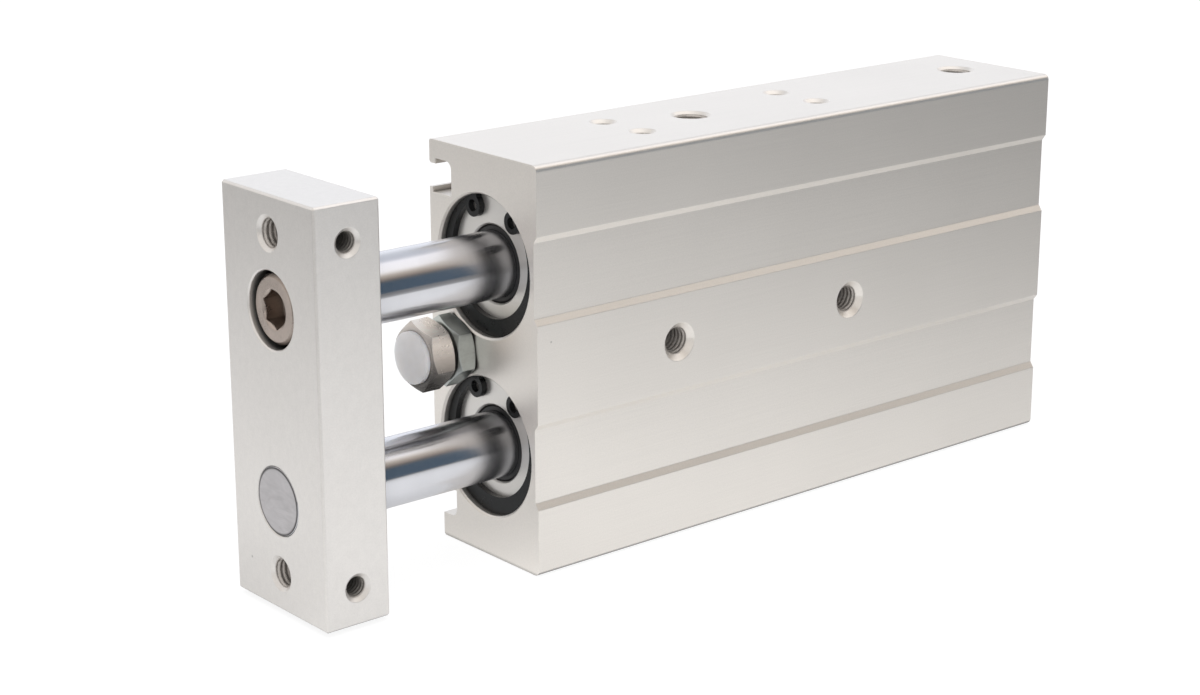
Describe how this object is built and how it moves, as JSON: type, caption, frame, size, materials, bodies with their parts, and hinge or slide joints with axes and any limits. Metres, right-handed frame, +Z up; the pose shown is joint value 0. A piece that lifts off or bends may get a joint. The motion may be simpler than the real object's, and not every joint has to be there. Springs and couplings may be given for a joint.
{
  "type": "guided pneumatic cylinder",
  "caption": "Slim guided pneumatic cylinder: one tall extruded housing with stacked bores, parallel chromed rods, a tool plate and an adjustable padded stop.",
  "frame": {"origin": "middle of the narrow face that the housing stands on", "axes": "+X along the rods, the way the slide comes out; +Y out of the wide face with the two threaded holes; +Z up"},
  "size_m": [0.233, 0.04, 0.098],
  "materials": {
    "anodised_housing": "satin clear anodised extrusion with a fine grain along its length",
    "anodised_plate": "satin clear anodised plate",
    "cover_aluminium": "turned aluminium",
    "retainer_aluminium": "turned and anodised aluminium",
    "piston_aluminium": "turned aluminium",
    "hard_chrome": "ground and hard chromed steel",
    "black_spring_steel": "black phosphated spring steel",
    "nickel_bolt": "nickel plated steel",
    "zinc_nut": "zinc plated steel",
    "screw_steel": "nickel plated steel screw",
    "nut_steel": "plain steel",
    "seal_rubber": "black nitrile rubber",
    "bumper_rubber": "dark urethane rubber",
    "urethane_pad": "pale urethane",
    "magnet": "plastic-bonded magnet"
  },
  "bodies": {
    "housing_body": {"rod_cover_upper": "cover_aluminium", "rod_cover_lower": "cover_aluminium", "head_cover_upper": "cover_aluminium", "head_cover_lower": "cover_aluminium", "seal_retainer_upper": "retainer_aluminium", "seal_retainer_lower": "retainer_aluminium", "rod_seal_upper": "seal_rubber", "rod_seal_lower": "seal_rubber", "rod_cover_o_ring_upper": "seal_rubber", "rod_cover_o_ring_lower": "seal_rubber", "head_cover_o_ring_upper": "seal_rubber", "head_cover_o_ring_lower": "seal_rubber", "front_retaining_ring_upper": "black_spring_steel", "front_retaining_ring_lower": "black_spring_steel", "rear_retaining_ring_upper": "black_spring_steel", "rear_retaining_ring_lower": "black_spring_steel", "housing": "anodised_housing", "bumper_bolt": "nickel_bolt", "bumper_lock_nut": "zinc_nut", "bumper_pad": "urethane_pad"},
    "slide_body": {"tool_plate": "anodised_plate", "plate_cap_screw": "screw_steel", "plate_set_screw": "screw_steel", "piston_rod_upper": "hard_chrome", "piston_rod_lower": "hard_chrome", "piston_upper": "piston_aluminium", "piston_lower": "piston_aluminium", "piston_seal_upper": "seal_rubber", "piston_seal_lower": "seal_rubber", "piston_magnet_upper": "magnet", "piston_magnet_lower": "magnet", "rod_side_bumper_upper": "bumper_rubber", "rod_side_bumper_lower": "bumper_rubber", "head_side_bumper_upper": "bumper_rubber", "head_side_bumper_lower": "bumper_rubber", "piston_nut_upper": "nut_steel", "piston_nut_lower": "nut_steel"}
  },
  "joints": [
    {"name": "plate_slide", "type": "slide", "parent": "housing_body", "child": "slide_body", "axis": [1, 0, 0], "range_m": [-0.0253, 0.0497]}
  ]
}
